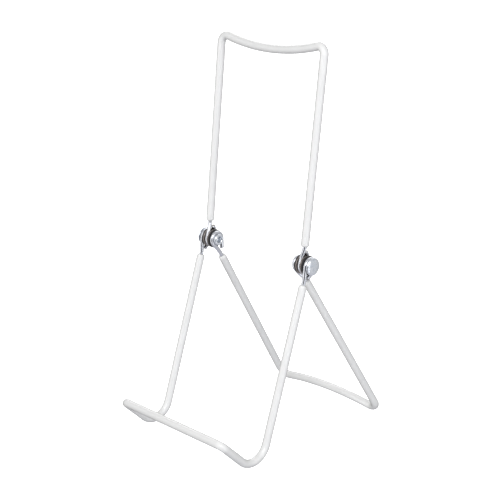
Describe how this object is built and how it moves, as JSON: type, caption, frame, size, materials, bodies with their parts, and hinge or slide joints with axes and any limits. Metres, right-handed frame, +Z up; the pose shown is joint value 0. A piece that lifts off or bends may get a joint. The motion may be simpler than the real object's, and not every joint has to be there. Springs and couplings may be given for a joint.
{
  "type": "photo album stand",
  "caption": "Folding wire display stand: a lipped front frame, a back frame and a rear leg, vinyl coated, turning on a pair of rivets.",
  "frame": {"origin": "on the floor, below the middle of the stand's box", "axes": "-Y is the front, where the album faces; +X runs along the rivets to the right of the stand seen from behind; +Z up"},
  "size_m": [0.0974, 0.1416, 0.2403],
  "materials": {
    "steel_wire": "bright zinc-plated drawn wire",
    "white_vinyl": "smooth white dipped vinyl, soft gloss",
    "rivet_steel": "bright nickel-plated steel",
    "washer_steel": "stamped steel, darkened at the rim",
    "dark_fibre": "matt black fibre"
  },
  "bodies": {
    "front_frame": {"front_wire": "steel_wire", "front_coat": "white_vinyl", "rivet_left": "rivet_steel", "rivet_right": "rivet_steel", "fibre_washer_outer_left": "dark_fibre", "fibre_washer_outer_right": "dark_fibre"},
    "back_frame": {"back_wire": "steel_wire", "back_coat": "white_vinyl", "steel_washer_outer_left": "washer_steel", "steel_washer_outer_right": "washer_steel", "steel_washer_inner_left": "washer_steel", "steel_washer_inner_right": "washer_steel"},
    "rear_leg": {"rear_wire": "steel_wire", "rear_coat": "white_vinyl", "fibre_washer_inner_left": "dark_fibre", "fibre_washer_inner_right": "dark_fibre"}
  },
  "joints": [
    {"name": "back_frame_tilt", "type": "hinge", "parent": "front_frame", "child": "back_frame", "pos_m": [0, 0.00147, 0.11227], "axis": [1, 0, 0], "range_deg": [-60, 132]},
    {"name": "rear_leg_swing", "type": "hinge", "parent": "front_frame", "child": "rear_leg", "pos_m": [0, 0.00147, 0.11227], "axis": [1, 0, 0], "range_deg": [-45, 55]}
  ]
}
